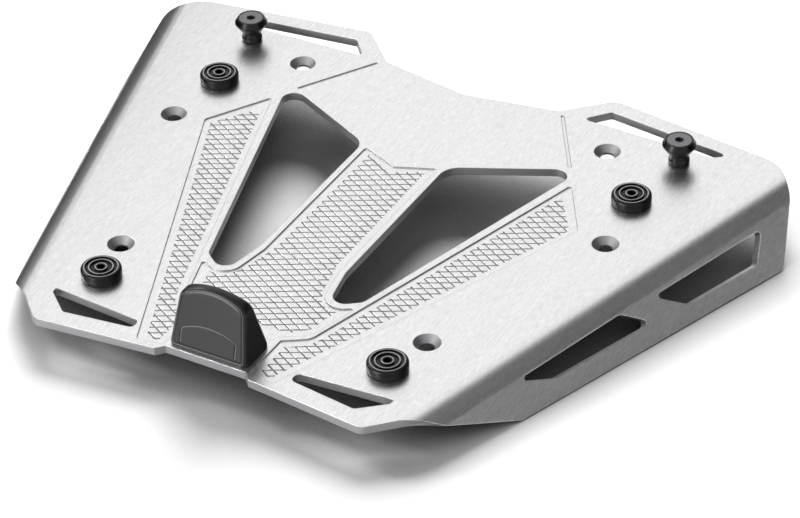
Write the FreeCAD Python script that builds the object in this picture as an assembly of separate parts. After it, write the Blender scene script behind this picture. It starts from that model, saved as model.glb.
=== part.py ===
"""Top case mounting plate: a folded aluminium plate that a motorbike's luggage rack carries.

A case hooks under the two mushroom pins at the front, rests on four rubber pads and locks on the
striker at the rear. Millimetres, +X to the right, +Y to the front of the bike, +Z up. Plan
positions are measured from the line through the two front pads, and heights from the top face.
The finished pieces are then lifted and shifted, so that the origin lies on the ground, centred
under the plate.
"""
import FreeCAD, Part
import math
import os

Vector = FreeCAD.Vector

# Sheet: thickness, inner radius of the folds, and the line where the right fold starts.
SHEET = 4.0
FOLD_INNER_RADIUS = 9.0
FOLD_TURN = 60.0            # how far the flanges are folded down, degrees
FOLD_ANGLE = 15.8           # turn of the fold line from the plate's centre line, degrees
FOLD_OFFSET = 143.6         # distance of the fold line from the point at x = 0, y = 0
FOLD_FRONT = 94.7           # where the sheet's front edge meets the fold line, along that line
FOLD_REAR = -154.8          # the same for the rear edge
FOLD_OUTER_RADIUS = FOLD_INNER_RADIUS + SHEET

# Side flange: places along the fold line, and distances down the slope. Those start at the
# edge that the flange and the top would share if the fold were sharp. Each cut-out corner has
# its radius.
FLANGE_FRONT_TOP = 86.7
FLANGE_FRONT_LOW = (68.5, 33.2)
FLANGE_REAR_TOP = -138.3
FLANGE_REAR_LOW = (-100.3, 24.4)
FLANGE_FRONT_CORNER = 6.0
FLANGE_REAR_CORNER = 4.0
REAR_CUTOUT = [((-96.1, 7.9), 1.3), ((-29.5, 8.1), 5.0), ((-12.6, 20.35), 2.0),
               ((-74.2, 16.95), 5.0)]
FRONT_CUTOUT = [((-8.6, 9.7), 1.5), ((65.1, 10.8), 2.0), ((54.6, 24.3), 2.0), ((9.7, 22.3), 5.0)]

# Outline of the flat plate, right half. The corners beside the fold are given by their
# distance inside the fold line and their place along it.
FRONT_CENTRE_Y = 42.7
FRONT_VALLEY = (47.1, 50.7)
FRONT_SHOULDER = (67.9, 70.7)
FRONT_CORNER_INSET = 6.7
FRONT_CORNER_ALONG = 99.4
REAR_CORNER_INSET = 8.5
REAR_CORNER_ALONG = -169.7
NOTCH_MOUTH = (24.1, -193.9)
NOTCH_FLOOR = (20.4, -190.0)
FRONT_VALLEY_RADIUS = 4.0
FRONT_SHOULDER_RADIUS = 6.0
FRONT_CORNER_RADIUS = 20.0
REAR_CORNER_RADIUS = 5.0
NOTCH_RADIUS = 1.5

# Windows on either side of the spine, with the spine's half width.
SPINE_HALF_WIDTH = 22.5
WINDOW_FRONT_INNER_Y = -14.6
WINDOW_FRONT_OUTER = (80.2, 12.9)
WINDOW_REAR_OUTER = (40.6, -123.0)
WINDOW_REAR_INNER = (27.35, -132.9)
WINDOW_WAIST_Y = -107.8
WINDOW_FRONT_OUTER_RADIUS = 6.0
WINDOW_FRONT_INNER_RADIUS = 10.0
WINDOW_REAR_RADIUS = 6.0
WINDOW_SMALL_RADIUS = 4.0

# Shallow milled field down the spine, which widens behind the windows.
POCKET_DEPTH = 0.6
SPINE_POCKET_EDGE = 3.1         # land left between the field and the windows
SPINE_POCKET_TOP_Y = -17.3
SPINE_POCKET_VALLEY_Y = -25.2
SPINE_POCKET_WAIST_Y = -108.5
SPINE_POCKET_ELBOW = (24.9, -139.0)
SPINE_POCKET_WING = (40.3, -127.6)
SPINE_POCKET_FLANK = (33.4, -151.3)
SPINE_POCKET_HIP = (29.5, -156.5)
SPINE_POCKET_REAR_Y = (-162.2, -165.3)
SPINE_POCKET_WAIST_RADIUS = 8.0
SPINE_POCKET_ELBOW_RADIUS = 9.0
SPINE_POCKET_HIP_RADIUS = 6.0
SPINE_POCKET_CORNER_RADIUS = 1.2

# Shallow milled field outside each window, from an apex at the front to the rear edge.
SIDE_POCKET_APEX = (81.0, -0.8)
SIDE_POCKET_SHOULDER = (100.2, -31.5)
SIDE_POCKET_REAR_OUTER = (35.0, -191.2)
SIDE_POCKET_REAR_INNER = (22.4, -189.6)
SIDE_POCKET_STEP = (22.4, -163.6)
SIDE_POCKET_KNEE = (33.5, -156.6)
SIDE_POCKET_SHOULDER_RADIUS = 3.0
SIDE_POCKET_CORNER_RADIUS = 1.0
SIDE_POCKET_KNEE_RADIUS = 8.0

# Diamond tread on the floors of the fields: two families of narrow cuts that cross each other.
TREAD_PITCH_X = 8.3             # from one diamond to the next across the plate
TREAD_PITCH_Y = 4.65            # the same along the plate
TREAD_CUT = 0.65
TREAD_DEPTH = 0.35
TREAD_PHASE = (0.353, 0.874)
SIDE_TREAD = [(81.0, -10.5), (96.3, -32.5), (31.9, -187.5), (25.9, -187.5), (25.9, -166.5),
              (34.5, -160.8), (38.3, -152.5)]
SPINE_TREAD = [(0.0, -29.7), (15.3, -21.6), (15.7, -104.0), (20.0, -124.0), (25.0, -133.0),
               (33.0, -134.0), (29.5, -150.0), (22.0, -157.0), (8.0, -157.0)]

# Straight grooves on either side of the front middle.
GROOVE_FRONT = (51.1, 47.8)
GROOVE_REAR = (73.6, 11.9)
GROOVE_WIDTH = 1.5
GROOVE_DEPTH = 0.5

# Slots for straps, each corner with its radius.
FRONT_SLOT = [((60.4, 50.3), 1.6), ((70.5, 61.7), 1.6), ((135.8, 53.7), 1.6), ((128.4, 48.6), 3.2)]
REAR_SLOT = [((41.0, -180.2), 2.6), ((87.3, -176.8), 1.0), ((86.9, -180.0), 1.0),
             ((74.8, -190.2), 2.4), ((40.6, -185.7), 2.6)]

# Countersunk holes for the rack's screws.
RACK_HOLE_RADIUS = 3.3
RACK_HOLE_RIM_RADIUS = 6.3
FRONT_HOLE = (83.3, 31.3)
MIDDLE_HOLE = (115.9, -34.7)
REAR_HOLE = (80.0, -135.3)

# Rubber pads: a ringed head, a neck in the plate's hole and a lip that snaps in below.
FRONT_PAD_X = 111.6
REAR_PAD = (74.2, -159.7)
PAD_RADIUS = 9.2
PAD_BARREL = 0.2
PAD_HEIGHT = 5.0
PAD_EDGE_RADIUS = 1.3
PAD_FOOT_ROUND = 0.8
PAD_HOLE_RADIUS = 4.0
PAD_LIP = 1.6
PAD_LIP_EDGE = 1.0
PAD_LIP_LENGTH = 3.2
PAD_TIP_RADIUS = 2.8
PAD_CORE_RADIUS = 1.8
PAD_CORE_DEPTH = 3.4
PAD_RING_DEPTH = 0.7
PAD_RING_WIDTH = 0.9
PAD_OUTER_RING_RADIUS = 7.75
PAD_MIDDLE_RING_RADIUS = 5.5
PAD_INNER_RING_RADIUS = 2.6

# Mushroom pins, each on its own countersunk screw.
PIN_POSITION = (116.9, 38.8)
PIN_HEIGHT = 12.7
PIN_HEAD_RADIUS = 7.95
PIN_HEAD_WIDEST = 10.5
PIN_HEAD_UNDERSIDE = 9.7
PIN_NECK_TOP = 4.9
PIN_NECK_RADIUS = 4.65
PIN_FOOT_RADIUS = 5.0
PIN_FOOT_HEIGHT = 2.2
PIN_FOOT_CHAMFER = 0.8
PIN_FOOT_STEP = 1.0
PIN_CROWN_RADIUS = 6.5
M6_RADIUS = 3.0
M6_HOLE_RADIUS = 3.3
M6_TIP_CHAMFER = 0.5
M6_COUNTERSUNK_HEAD_RADIUS = 5.7
M6_COUNTERSUNK_SOCKET = 4.0
SOCKET_DEPTH = 2.6
PIN_SCREW_LENGTH = 25.0
HEAD_RECESS = 0.1
WASHER_RADIUS = 6.0
WASHER_THICKNESS = 1.6
NUT_ACROSS_FLATS = 10.0
NUT_HEIGHT = 5.0
NUT_COLLAR_HEIGHT = 1.4
NUT_COLLAR_RADIUS = 4.4
NUT_COLLAR_TAPER = 0.5

# Striker that the case's lock grips, held from below by two screws in threaded inserts.
STRIKER_HALF_WIDTH = 20.0
STRIKER_SHOULDER_HALF_WIDTH = 17.1
STRIKER_HEIGHT = 30.1
STRIKER_FRONT_Y = -188.5
STRIKER_REAR_Y = -168.8
STRIKER_LIP_HEIGHT = 3.0
STRIKER_FACE_TOP_Y = -180.6
STRIKER_RIDGE_Y = -175.6
STRIKER_CROWN_RADIUS = 32.0
STRIKER_CROWN_CORNER = 6.5
STRIKER_ROUND = 3.0
STRIKER_PANEL_HALF_WIDTH = 14.4
STRIKER_PANEL_TOP = 13.5
STRIKER_PANEL_CORNER = 2.4
STRIKER_LINE_WIDTH = 0.9
STRIKER_LINE_DEPTH = 0.4
STRIKER_SCREW_INSET = 9.5       # from the striker's foot edge to the screw's axis
STRIKER_SCREW_Y = -178.0
INSERT_RADIUS = 4.0
INSERT_LENGTH = 12.0
INSERT_SINK = 1.0
STRIKER_SCREW_LENGTH = 16.0
BUTTON_HEAD_RADIUS = 5.25
BUTTON_HEAD_HEIGHT = 3.3
BUTTON_DOME_RADIUS = 6.3
BUTTON_SOCKET_DEPTH = 1.8

# How far a cutting body reaches past the face that it opens.
OVERRUN = 1.0

STRIKER_SCREW_X = STRIKER_HALF_WIDTH - STRIKER_SCREW_INSET

# Fold directions in plan: along the fold line to the front, and square to it, outward.
ALONG = Vector(math.sin(math.radians(FOLD_ANGLE)), math.cos(math.radians(FOLD_ANGLE)), 0)
OUTWARD = Vector(math.cos(math.radians(FOLD_ANGLE)), -math.sin(math.radians(FOLD_ANGLE)), 0)


def folded(turn):
    """Direction from the fold's axis to the sheet after a turn in degrees, 0 being up."""
    return OUTWARD * math.sin(math.radians(turn)) + Vector(0, 0, math.cos(math.radians(turn)))


# Flange directions: square to its outer face, and down its slope.
FLANGE_NORMAL = folded(FOLD_TURN)
FLANGE_DOWN = folded(FOLD_TURN + 90)
FOLD_REACH = FOLD_OUTER_RADIUS * math.tan(math.radians(FOLD_TURN / 2))


def mirrored(shape):
    """Returns the same piece on the other side of the plate's centre line."""
    return shape.mirror(Vector(0, 0, 0), Vector(1, 0, 0))


def both_sides(shape):
    return [shape, mirrored(shape)]


def fold_point(outward, along, z=0.0):
    """A point given by its distance out from the centre and along the right fold line."""
    return OUTWARD * outward + ALONG * along + Vector(0, 0, z)


def rounded_wire(corners):
    """Closed wire through corners of (point, radius), with an arc at each rounded corner."""
    ends = []
    for i, (point, radius) in enumerate(corners):
        before = (corners[i - 1][0] - point).normalize()
        after = (corners[(i + 1) % len(corners)][0] - point).normalize()
        if radius <= 0:
            ends.append((point, None, point))
            continue
        half = before.getAngle(after) / 2
        reach = radius / math.tan(half)
        inward = (before + after).normalize()
        middle = point + inward * (radius / math.sin(half) - radius)
        ends.append((point + before * reach, middle, point + after * reach))
    edges = []
    for i, (start, middle, end) in enumerate(ends):
        if middle is not None:
            edges.append(Part.Arc(start, middle, end).toShape())
        following = ends[(i + 1) % len(ends)][0]
        if end.distanceToPoint(following) > 1e-6:
            edges.append(Part.makeLine(end, following))
    return Part.Wire(edges)


def plan_prism(corners, bottom, top):
    """Prism from plan corners of ((x, y), radius), between two heights."""
    wire = rounded_wire([(Vector(x, y, bottom), radius) for (x, y), radius in corners])
    return Part.Face(wire).extrude(Vector(0, 0, top - bottom))


def with_mirror(corners):
    """Plan corners of a right half, run on through the mirrored left half."""
    left = [((-x, y), radius) for (x, y), radius in reversed(corners) if x > 0]
    return corners + left


def revolved(profile):
    """Solid of revolution about Z from a closed profile of (radius, height) points."""
    wire = Part.makePolygon([Vector(r, 0, z) for r, z in profile + profile[:1]])
    return Part.Face(wire).revolve(Vector(0, 0, 0), Vector(0, 0, 1), 360)


def hexagon_prism(across_flats, bottom, top):
    reach = across_flats / math.sqrt(3)
    points = [Vector(reach * math.cos(math.radians(60 * i)), reach * math.sin(math.radians(60 * i)),
                     bottom) for i in range(7)]
    return Part.Face(Part.makePolygon(points)).extrude(Vector(0, 0, top - bottom))


def at(shape, x, y, z=0.0):
    return shape.translated(Vector(x, y, z))


def flat_plate():
    """The flat middle of the sheet, up to the two fold lines."""
    beside_fold = [
        (fold_point(FOLD_OFFSET - FRONT_CORNER_INSET, FRONT_CORNER_ALONG), FRONT_CORNER_RADIUS),
        (fold_point(FOLD_OFFSET, FOLD_FRONT), 0),
        (fold_point(FOLD_OFFSET, FOLD_REAR), 0),
        (fold_point(FOLD_OFFSET - REAR_CORNER_INSET, REAR_CORNER_ALONG), REAR_CORNER_RADIUS),
    ]
    half = [((0, FRONT_CENTRE_Y), FRONT_SHOULDER_RADIUS), (FRONT_VALLEY, FRONT_VALLEY_RADIUS),
            (FRONT_SHOULDER, FRONT_SHOULDER_RADIUS)]
    half += [((point.x, point.y), radius) for point, radius in beside_fold]
    half += [(NOTCH_MOUTH, NOTCH_RADIUS), (NOTCH_FLOOR, NOTCH_RADIUS)]
    return plan_prism(with_mirror(half), -SHEET, 0)


def edge_cutter(start, end, beyond):
    """What lies past the sheet's edge, where that edge runs slantwise round the fold."""
    sections = []
    axis = fold_point(FOLD_OFFSET, 0, -FOLD_OUTER_RADIUS)
    steps = 10
    for step in range(-1, steps + 2):
        turn = FOLD_TURN * step / steps
        along = start + (end - start) * step / steps
        near = axis + folded(turn) * (FOLD_INNER_RADIUS / 2)
        far = axis + folded(turn) * (FOLD_OUTER_RADIUS + SHEET)
        corners = [near + ALONG * along, far + ALONG * along,
                   far + ALONG * beyond, near + ALONG * beyond]
        sections.append(Part.makePolygon(corners + corners[:1]))
    return Part.makeLoft(sections, True, False)


def fold():
    """The bend, with the sheet's front and rear edges running slantwise round it."""
    reach_front = FOLD_FRONT + 3 * SHEET
    reach_rear = FOLD_REAR - 3 * SHEET
    axis = fold_point(FOLD_OFFSET, reach_rear, -FOLD_OUTER_RADIUS)
    outer = [axis + folded(turn) * FOLD_OUTER_RADIUS for turn in (0, FOLD_TURN / 2, FOLD_TURN)]
    inner = [axis + folded(turn) * FOLD_INNER_RADIUS for turn in (0, FOLD_TURN / 2, FOLD_TURN)]
    profile = Part.Wire([
        Part.Arc(*outer).toShape(),
        Part.makeLine(outer[2], inner[2]),
        Part.Arc(inner[2], inner[1], inner[0]).toShape(),
        Part.makeLine(inner[0], outer[0]),
    ])
    bend = Part.Face(profile).extrude(ALONG * (reach_front - reach_rear))
    bend = bend.cut(edge_cutter(FOLD_FRONT, FLANGE_FRONT_TOP, reach_front + SHEET))
    return bend.cut(edge_cutter(FOLD_REAR, FLANGE_REAR_TOP, reach_rear - SHEET))


def flange_prism(corners, inside, outside):
    """Prism across the flange from corners of ((along, down), radius) on its outer face."""
    base = fold_point(FOLD_OFFSET + FOLD_REACH, 0) + FLANGE_NORMAL * inside
    wire = rounded_wire([(base + ALONG * along + FLANGE_DOWN * down, radius)
                         for (along, down), radius in corners])
    return Part.Face(wire).extrude(FLANGE_NORMAL * (outside - inside))


def flange():
    return flange_prism([
        ((FLANGE_REAR_TOP, FOLD_REACH), 0),
        (FLANGE_REAR_LOW, FLANGE_REAR_CORNER),
        (FLANGE_FRONT_LOW, FLANGE_FRONT_CORNER),
        ((FLANGE_FRONT_TOP, FOLD_REACH), 0),
    ], -SHEET, 0)


def flange_cutouts():
    """The two long slanted openings of a flange."""
    return [flange_prism(corners, -2 * SHEET, SHEET) for corners in (REAR_CUTOUT, FRONT_CUTOUT)]


def window():
    """The right window between the spine and the side tread field."""
    return plan_prism([
        ((SPINE_HALF_WIDTH, WINDOW_FRONT_INNER_Y), WINDOW_FRONT_INNER_RADIUS),
        (WINDOW_FRONT_OUTER, WINDOW_FRONT_OUTER_RADIUS),
        (WINDOW_REAR_OUTER, WINDOW_SMALL_RADIUS),
        (WINDOW_REAR_INNER, WINDOW_REAR_RADIUS),
        ((SPINE_HALF_WIDTH, WINDOW_WAIST_Y), WINDOW_SMALL_RADIUS),
    ], -2 * SHEET, SHEET)


def slot(corners):
    return plan_prism(corners, -2 * SHEET, SHEET)


def rack_hole(x, y):
    """Through hole with a 90 degree countersink, for a countersunk M6 screw."""
    sink = RACK_HOLE_RIM_RADIUS - RACK_HOLE_RADIUS
    hole = Part.makeCylinder(RACK_HOLE_RADIUS, 3 * SHEET, Vector(0, 0, -2 * SHEET))
    cone = Part.makeCone(RACK_HOLE_RADIUS, RACK_HOLE_RIM_RADIUS, sink, Vector(0, 0, -sink))
    return at(hole.fuse(cone), x, y)


def round_hole(radius, x, y):
    return Part.makeCylinder(radius, 3 * SHEET, Vector(x, y, -2 * SHEET))


def spine_pocket():
    """Sunken field down the spine, which widens behind the windows and stops at the striker."""
    edge = SPINE_HALF_WIDTH - SPINE_POCKET_EDGE
    half = [
        ((0, SPINE_POCKET_VALLEY_Y), 0),
        ((edge, SPINE_POCKET_TOP_Y), SPINE_POCKET_CORNER_RADIUS),
        ((edge, SPINE_POCKET_WAIST_Y), SPINE_POCKET_WAIST_RADIUS),
        (SPINE_POCKET_ELBOW, SPINE_POCKET_ELBOW_RADIUS),
        (SPINE_POCKET_WING, SPINE_POCKET_CORNER_RADIUS),
        (SPINE_POCKET_FLANK, SPINE_POCKET_HIP_RADIUS),
        (SPINE_POCKET_HIP, SPINE_POCKET_HIP_RADIUS),
        ((edge, SPINE_POCKET_REAR_Y[0]), SPINE_POCKET_CORNER_RADIUS),
        ((edge, SPINE_POCKET_REAR_Y[1]), SPINE_POCKET_CORNER_RADIUS),
    ]
    return plan_prism(with_mirror(half), -POCKET_DEPTH, SHEET)


def side_pocket():
    """Sunken field beside the right window, from an apex at the front to the rear edge."""
    return plan_prism([
        (SIDE_POCKET_APEX, SIDE_POCKET_CORNER_RADIUS),
        (SIDE_POCKET_SHOULDER, SIDE_POCKET_SHOULDER_RADIUS),
        (SIDE_POCKET_REAR_OUTER, SIDE_POCKET_CORNER_RADIUS),
        (SIDE_POCKET_REAR_INNER, SIDE_POCKET_CORNER_RADIUS),
        (SIDE_POCKET_STEP, SIDE_POCKET_CORNER_RADIUS),
        (SIDE_POCKET_KNEE, SIDE_POCKET_KNEE_RADIUS),
    ], -POCKET_DEPTH, SHEET)


def plan_face(points):
    return Part.Face(Part.makePolygon([Vector(x, y, 0) for x, y in points + points[:1]]))


def diamond(across, along):
    """One raised diamond of the tread, by its count across and along the plate."""
    line_a = (across + along) / 2 + TREAD_PHASE[0]
    line_b = (across - along) / 2 + TREAD_PHASE[1]
    x = TREAD_PITCH_X * (line_a + line_b + 1) / 2
    y = TREAD_PITCH_Y * (line_a - line_b) / 2
    share = 1 - TREAD_CUT / (TREAD_PITCH_Y * math.cos(math.atan2(TREAD_PITCH_Y, TREAD_PITCH_X)))
    half_x = share * TREAD_PITCH_X / 2
    half_y = share * TREAD_PITCH_Y / 2
    return [(x - half_x, y), (x, y - half_y), (x + half_x, y), (x, y + half_y)]


def inside(point, outline):
    """True where a plan point lies inside a closed outline, by counting crossings."""
    x, y = point
    hits = 0
    for (ax, ay), (bx, by) in zip(outline, outline[1:] + outline[:1]):
        if (ay > y) != (by > y) and x < ax + (y - ay) * (bx - ax) / (by - ay):
            hits += 1
    return hits % 2 == 1


def half_pitches(values, pitch):
    """Counts of the rows of diamonds that a field can touch, two rows to a pitch."""
    spare = 3
    return range(math.floor(2 * min(values) / pitch) - spare,
                 math.ceil(2 * max(values) / pitch) + spare)


def tread_field(outline):
    """The cuts of one field: its whole face less the diamonds that stand in it."""
    xs = [x for x, y in outline]
    ys = [y for x, y in outline]
    holes = []
    crossing = []
    for across in half_pitches(xs, TREAD_PITCH_X):
        for along in half_pitches(ys, TREAD_PITCH_Y):
            if (across + along) % 2:
                continue
            corners = diamond(across, along)
            count = sum(inside(corner, outline) for corner in corners)
            if count == len(corners):
                holes.append(corners)
            elif count:
                crossing.append(plan_face(corners))
    field = plan_face(outline).cut(crossing)
    net = max(field.Faces, key=lambda face: face.Area)
    wires = [plan_face(corners).OuterWire for corners in holes]
    return Part.Face([net.OuterWire] + wires, "Part::FaceMakerBullseye")


def tread():
    """Crossing cuts of the diamond tread, as thin prisms below the floors of the fields."""
    spine = SPINE_TREAD + [(-x, y) for x, y in reversed(SPINE_TREAD) if x > 0]
    left = [(-x, y) for x, y in reversed(SIDE_TREAD)]
    base = Vector(0, 0, -POCKET_DEPTH - TREAD_DEPTH)
    return [tread_field(outline).translated(base).extrude(Vector(0, 0, 2 * TREAD_DEPTH))
            for outline in (spine, SIDE_TREAD, left)]


def straight_groove():
    """Round-ended groove beside the front middle of the plate."""
    start = Vector(GROOVE_REAR[0], GROOVE_REAR[1], 0)
    end = Vector(GROOVE_FRONT[0], GROOVE_FRONT[1], 0)
    run = (end - start).normalize()
    side = Vector(-run.y, run.x, 0) * (GROOVE_WIDTH / 2)
    wire = Part.Wire([
        Part.makeLine(start + side, end + side),
        Part.Arc(end + side, end + run * (GROOVE_WIDTH / 2), end - side).toShape(),
        Part.makeLine(end - side, start - side),
        Part.Arc(start - side, start - run * (GROOVE_WIDTH / 2), start + side).toShape(),
    ])
    return Part.Face(wire).extrude(Vector(0, 0, GROOVE_DEPTH + SHEET)).translated(
        Vector(0, 0, -GROOVE_DEPTH))


def plate():
    """The folded sheet in one piece."""
    sides = []
    for piece in (fold(), flange()):
        sides += both_sides(piece)
    body = flat_plate().fuse(sides).removeSplitter()
    cuts = [window(), slot(FRONT_SLOT), slot(REAR_SLOT), side_pocket(), straight_groove()]
    cuts += flange_cutouts()
    for x, y in (FRONT_HOLE, MIDDLE_HOLE, REAR_HOLE):
        cuts.append(rack_hole(x, y))
    cuts.append(round_hole(M6_HOLE_RADIUS, *PIN_POSITION))
    cuts.append(round_hole(PAD_HOLE_RADIUS, FRONT_PAD_X, 0))
    cuts.append(round_hole(PAD_HOLE_RADIUS, *REAR_PAD))
    cuts.append(round_hole(M6_HOLE_RADIUS, STRIKER_SCREW_X, STRIKER_SCREW_Y))
    every_cut = [spine_pocket()]
    for cut in cuts:
        every_cut += both_sides(cut)
    return body.cut(every_cut).cut(tread())


def ring_groove(inner, outer, top, depth):
    """Annular groove cut down from a face."""
    floor = Vector(0, 0, top - depth)
    ring = Part.makeCylinder(outer, depth + OVERRUN, floor)
    return ring.cut(Part.makeCylinder(inner, depth + OVERRUN, floor))


def rim_at(body, height):
    """The pad head's outer edge at a height."""
    return [edge for edge in body.Edges if edge.BoundBox.XMax > PAD_RADIUS - PAD_BARREL
            and abs(edge.BoundBox.ZMin - height) < 1e-3 and abs(edge.BoundBox.ZMax - height) < 1e-3]


def pad():
    """Rubber pad in one piece: ringed head, neck through the plate and retaining lip."""
    middle = PAD_HEIGHT / 2
    lip_top = -SHEET
    side = Part.Arc(Vector(PAD_RADIUS, 0, 0), Vector(PAD_RADIUS + PAD_BARREL, 0, middle),
                    Vector(PAD_RADIUS, 0, PAD_HEIGHT)).toShape()
    lip_radius = PAD_HOLE_RADIUS + PAD_LIP
    lower = [Vector(PAD_RADIUS, 0, 0), Vector(PAD_HOLE_RADIUS, 0, 0),
             Vector(PAD_HOLE_RADIUS, 0, lip_top), Vector(lip_radius, 0, lip_top),
             Vector(lip_radius, 0, lip_top - PAD_LIP_EDGE),
             Vector(PAD_TIP_RADIUS, 0, lip_top - PAD_LIP_LENGTH),
             Vector(0, 0, lip_top - PAD_LIP_LENGTH), Vector(0, 0, PAD_HEIGHT),
             Vector(PAD_RADIUS, 0, PAD_HEIGHT)]
    edges = [Part.makeLine(a, b) for a, b in zip(lower, lower[1:])]
    profile = Part.Wire(Part.__sortEdges__([side] + edges))
    body = Part.Face(profile).revolve(Vector(0, 0, 0), Vector(0, 0, 1), 360)
    body = body.makeFillet(PAD_EDGE_RADIUS, rim_at(body, PAD_HEIGHT))
    body = body.makeFillet(PAD_FOOT_ROUND, rim_at(body, 0))
    half = PAD_RING_WIDTH / 2
    core_floor = Vector(0, 0, PAD_HEIGHT - PAD_CORE_DEPTH)
    gaps = [
        ring_groove(PAD_MIDDLE_RING_RADIUS + half, PAD_OUTER_RING_RADIUS - half,
                    PAD_HEIGHT, PAD_RING_DEPTH),
        ring_groove(PAD_INNER_RING_RADIUS + half, PAD_MIDDLE_RING_RADIUS - half,
                    PAD_HEIGHT, PAD_RING_DEPTH),
        Part.makeCylinder(PAD_CORE_RADIUS, PAD_CORE_DEPTH + OVERRUN, core_floor),
    ]
    return body.cut(gaps)


def pin():
    """Mushroom pin, a turned black bush with a countersunk bore."""
    sink = M6_COUNTERSUNK_HEAD_RADIUS + HEAD_RECESS - M6_HOLE_RADIUS
    return revolved([
        (M6_HOLE_RADIUS, 0),
        (PIN_FOOT_RADIUS - PIN_FOOT_CHAMFER, 0),
        (PIN_FOOT_RADIUS, PIN_FOOT_CHAMFER),
        (PIN_FOOT_RADIUS, PIN_FOOT_HEIGHT),
        (PIN_NECK_RADIUS, PIN_FOOT_HEIGHT + PIN_FOOT_STEP),
        (PIN_NECK_RADIUS, PIN_NECK_TOP),
        (PIN_HEAD_RADIUS, PIN_HEAD_UNDERSIDE),
        (PIN_HEAD_RADIUS, PIN_HEAD_WIDEST),
        (PIN_CROWN_RADIUS, PIN_HEIGHT),
        (M6_COUNTERSUNK_HEAD_RADIUS + HEAD_RECESS, PIN_HEIGHT),
        (M6_HOLE_RADIUS, PIN_HEIGHT - sink),
    ])


def pin_screw():
    """Countersunk M6 screw with a hexagon socket, its head flush with the pin's crown."""
    top = PIN_HEIGHT - HEAD_RECESS
    sink = M6_COUNTERSUNK_HEAD_RADIUS - M6_RADIUS
    tip = top - PIN_SCREW_LENGTH
    screw = revolved([
        (0, tip),
        (M6_RADIUS - M6_TIP_CHAMFER, tip),
        (M6_RADIUS, tip + M6_TIP_CHAMFER),
        (M6_RADIUS, top - sink),
        (M6_COUNTERSUNK_HEAD_RADIUS, top),
        (0, top),
    ])
    return screw.cut(hexagon_prism(M6_COUNTERSUNK_SOCKET, top - SOCKET_DEPTH, top + OVERRUN))


def washer(top):
    """Flat M6 washer under a given face."""
    low = top - WASHER_THICKNESS
    disc = Part.makeCylinder(WASHER_RADIUS, WASHER_THICKNESS, Vector(0, 0, low))
    bore = Part.makeCylinder(M6_HOLE_RADIUS, WASHER_THICKNESS + 2 * OVERRUN,
                             Vector(0, 0, low - OVERRUN))
    return disc.cut(bore)


def lock_nut(top):
    """Hexagon nut with a round locking collar at its lower end."""
    nut = hexagon_prism(NUT_ACROSS_FLATS, top - NUT_HEIGHT, top)
    low = top - NUT_HEIGHT
    collar = Part.makeCone(NUT_COLLAR_RADIUS - NUT_COLLAR_TAPER, NUT_COLLAR_RADIUS,
                           NUT_COLLAR_HEIGHT, Vector(0, 0, low - NUT_COLLAR_HEIGHT))
    bore = Part.makeCylinder(M6_RADIUS, 3 * NUT_HEIGHT, Vector(0, 0, top - 2 * NUT_HEIGHT))
    return nut.fuse(collar).cut(bore)


def arched_prism(foot, shoulder, top, radius, corner, low):
    """Front-view arch extruded through the striker: tapered sides under a shallow crown."""
    drop = radius - math.sqrt(radius ** 2 - shoulder ** 2)
    right = Vector(shoulder, 0, top - drop)
    left = Vector(-shoulder, 0, top - drop)
    foot_right = Vector(foot, 0, low)
    foot_left = Vector(-foot, 0, low)
    wire = Part.Wire([
        Part.makeLine(foot_left, foot_right),
        Part.makeLine(foot_right, right),
        Part.Arc(right, Vector(0, 0, top), left).toShape(),
        Part.makeLine(left, foot_left),
    ])
    depth = STRIKER_REAR_Y - STRIKER_FRONT_Y + 2 * OVERRUN
    face = Part.Face(wire).translated(Vector(0, STRIKER_FRONT_Y - OVERRUN, 0))
    body = face.extrude(Vector(0, depth, 0))
    corners = [edge for edge in body.Edges if len(edge.Vertexes) == 2
               and edge.BoundBox.XLength < 1e-3 and edge.BoundBox.ZLength < 1e-3
               and edge.BoundBox.ZMin > (low + top) / 2]
    return body.makeFillet(corner, corners)


def striker_wedge(set_back=0.0):
    """Side-view wedge: upright lip, sloping front face, narrow ridge and sloping back."""
    above = STRIKER_HEIGHT + OVERRUN
    face_slope = (STRIKER_FACE_TOP_Y - STRIKER_FRONT_Y) / (STRIKER_HEIGHT - STRIKER_LIP_HEIGHT)
    back_slope = (STRIKER_RIDGE_Y - STRIKER_REAR_Y) / (STRIKER_HEIGHT - STRIKER_LIP_HEIGHT)
    points = [
        (STRIKER_FRONT_Y + set_back, 0),
        (STRIKER_FRONT_Y + set_back, STRIKER_LIP_HEIGHT),
        (STRIKER_FACE_TOP_Y + set_back + face_slope * OVERRUN, above),
        (STRIKER_RIDGE_Y + back_slope * OVERRUN, above),
        (STRIKER_REAR_Y, STRIKER_LIP_HEIGHT),
        (STRIKER_REAR_Y, 0),
    ]
    beside = STRIKER_HALF_WIDTH + OVERRUN
    wire = Part.makePolygon([Vector(-beside, y, z) for y, z in points + points[:1]])
    return Part.Face(wire).extrude(Vector(2 * beside, 0, 0))


def edges_of_face(body, towards):
    """Outline edges of the large face that looks towards a direction, lip edges left out."""
    faces = [face for face in body.Faces if face.normalAt(0, 0).dot(towards) > 0.9]
    face = max(faces, key=lambda face: face.Area)
    return [edge for edge in face.Edges if edge.BoundBox.ZMax > STRIKER_LIP_HEIGHT + 1e-3]


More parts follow.
